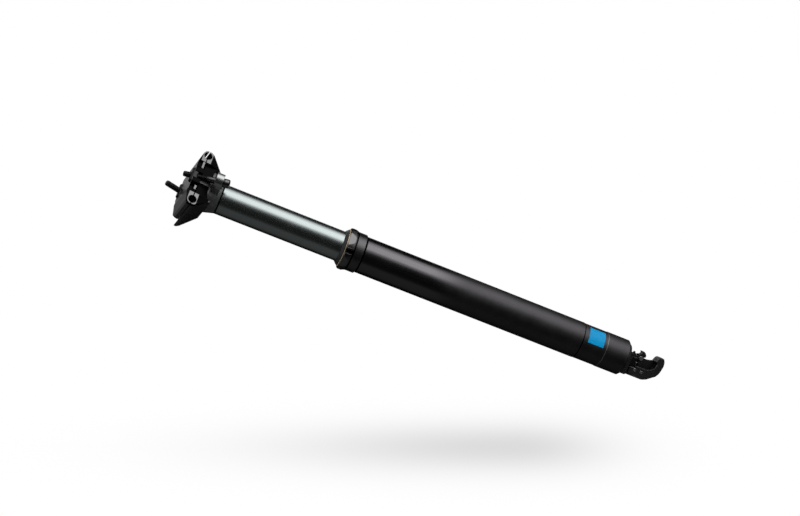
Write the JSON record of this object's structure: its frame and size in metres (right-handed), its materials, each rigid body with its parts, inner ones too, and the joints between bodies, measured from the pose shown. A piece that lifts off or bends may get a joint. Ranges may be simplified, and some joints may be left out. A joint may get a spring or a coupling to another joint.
{
  "type": "dropper seatpost",
  "caption": "Telescopic bicycle seatpost that lowers the saddle, with a bolted rail clamp, a sealed collar and a cable-pulled release at its foot.",
  "frame": {"origin": "on the post's axis at the collar's lower face, where the collar rests on the frame's seat tube; it is the outer_tube mount's position", "axes": "+Z along the post towards the saddle, +X to the front of the bicycle, +Y to its left"},
  "size_m": [0.055, 0.0526, 0.4513],
  "materials": {
    "tube_black": "satin black anodised",
    "patch_blue": "gloss film",
    "collar_black": "satin anodised",
    "accent_gold": "satin",
    "seal_rubber": "matte",
    "foam": "matte",
    "bushing": "matte",
    "inner_aluminium": "satin",
    "steel": "bright",
    "rod_chrome": "polished",
    "key_brass": "satin",
    "bracket_black": "satin black",
    "lever_black": "satin black",
    "stanchion_grey": "gloss hard anodised",
    "head_black": "satin black anodised",
    "clamp_grey": "satin anodised",
    "bolt_black": "black oxide",
    "plastic_white": "matte"
  },
  "bodies": {
    "outer_post": {"lower_tube": "tube_black", "label_patch": "patch_blue", "collar": "collar_black", "collar_oring": "seal_rubber", "accent_ring": "accent_gold", "wiper_seal": "seal_rubber", "foam_ring": "foam", "upper_bushing": "bushing", "base_plug": "inner_aluminium", "piston_rod": "rod_chrome", "main_piston": "key_brass", "rod_nut": "steel", "actuator_bracket": "bracket_black", "side_plate": "bracket_black", "side_plate_rivets": "steel", "lever_pivot_pin": "steel"},
    "inner_post": {"stanchion": "stanchion_grey", "seatpost_head": "head_black", "anti_rotation_keys": "key_brass", "lower_bushing": "bushing", "gas_cylinder": "inner_aluminium", "rod_gland": "inner_aluminium", "cylinder_retainer": "inner_aluminium", "centring_ring": "plastic_white"},
    "floating_piston": {"floating_piston": "inner_aluminium"},
    "saddle_clamp": {"lower_clamp": "head_black", "upper_clamp": "clamp_grey"},
    "front_bolt": {"front_bolt": "bolt_black", "front_washer": "head_black"},
    "rear_bolt": {"rear_bolt": "bolt_black", "rear_washer": "head_black"},
    "front_nut": {"front_cross_nut": "bolt_black"},
    "rear_nut": {"rear_cross_nut": "bolt_black"},
    "actuator_lever": {"actuator_lever": "lever_black"},
    "release_pin": {"release_pin": "steel"}
  },
  "joints": [
    {"name": "seat_slide", "type": "slide", "parent": "outer_post", "child": "inner_post", "axis": [0, 0, 1], "range_m": [-0.1, 0]},
    {"name": "floating_piston_slide", "type": "slide", "parent": "inner_post", "child": "floating_piston", "axis": [0, 0, 1], "range_m": [0, 0.038]},
    {"name": "clamp_tilt", "type": "hinge", "parent": "inner_post", "child": "saddle_clamp", "pos_m": [0.003, 0, 0.1585], "axis": [0, 1, 0], "range_deg": [-8, 8]},
    {"name": "front_bolt_rock", "type": "hinge", "parent": "inner_post", "child": "front_bolt", "pos_m": [0.0244, 0, 0.1279], "axis": [0, 1, 0], "range_deg": [-3.7, 3.7]},
    {"name": "rear_bolt_rock", "type": "hinge", "parent": "inner_post", "child": "rear_bolt", "pos_m": [-0.018, 0, 0.1389], "axis": [0, 1, 0], "range_deg": [-3.7, 3.7]},
    {"name": "front_nut_turn", "type": "hinge", "parent": "saddle_clamp", "child": "front_nut", "pos_m": [0.01827, 0, 0.15138], "axis": [0, 1, 0], "range_deg": [-12, 12]},
    {"name": "rear_nut_turn", "type": "hinge", "parent": "saddle_clamp", "child": "rear_nut", "pos_m": [-0.01194, 0, 0.15562], "axis": [0, 1, 0], "range_deg": [-12, 12]},
    {"name": "lever_pull", "type": "hinge", "parent": "outer_post", "child": "actuator_lever", "pos_m": [0.00261, 0.00403, -0.2596], "axis": [-0.8387, 0.5446, 0], "range_deg": [0, 24]},
    {"name": "release_pin_slide", "type": "slide", "parent": "outer_post", "child": "release_pin", "axis": [0, 0, 1], "range_m": [0, 0.002], "stiffness_N_per_m": 150, "springref_m": -0.005}
  ],
  "couplings": [
    {"joint": "floating_piston_slide", "follows": "seat_slide", "ratio": -0.3718},
    {"joint": "front_bolt_rock", "follows": "clamp_tilt", "ratio": -0.44},
    {"joint": "rear_bolt_rock", "follows": "clamp_tilt", "ratio": -0.434},
    {"joint": "front_nut_turn", "follows": "clamp_tilt", "ratio": -1.44},
    {"joint": "rear_nut_turn", "follows": "clamp_tilt", "ratio": -1.434},
    {"joint": "lever_pull", "follows": "release_pin_slide", "rad_per_m": 208.3}
  ]
}
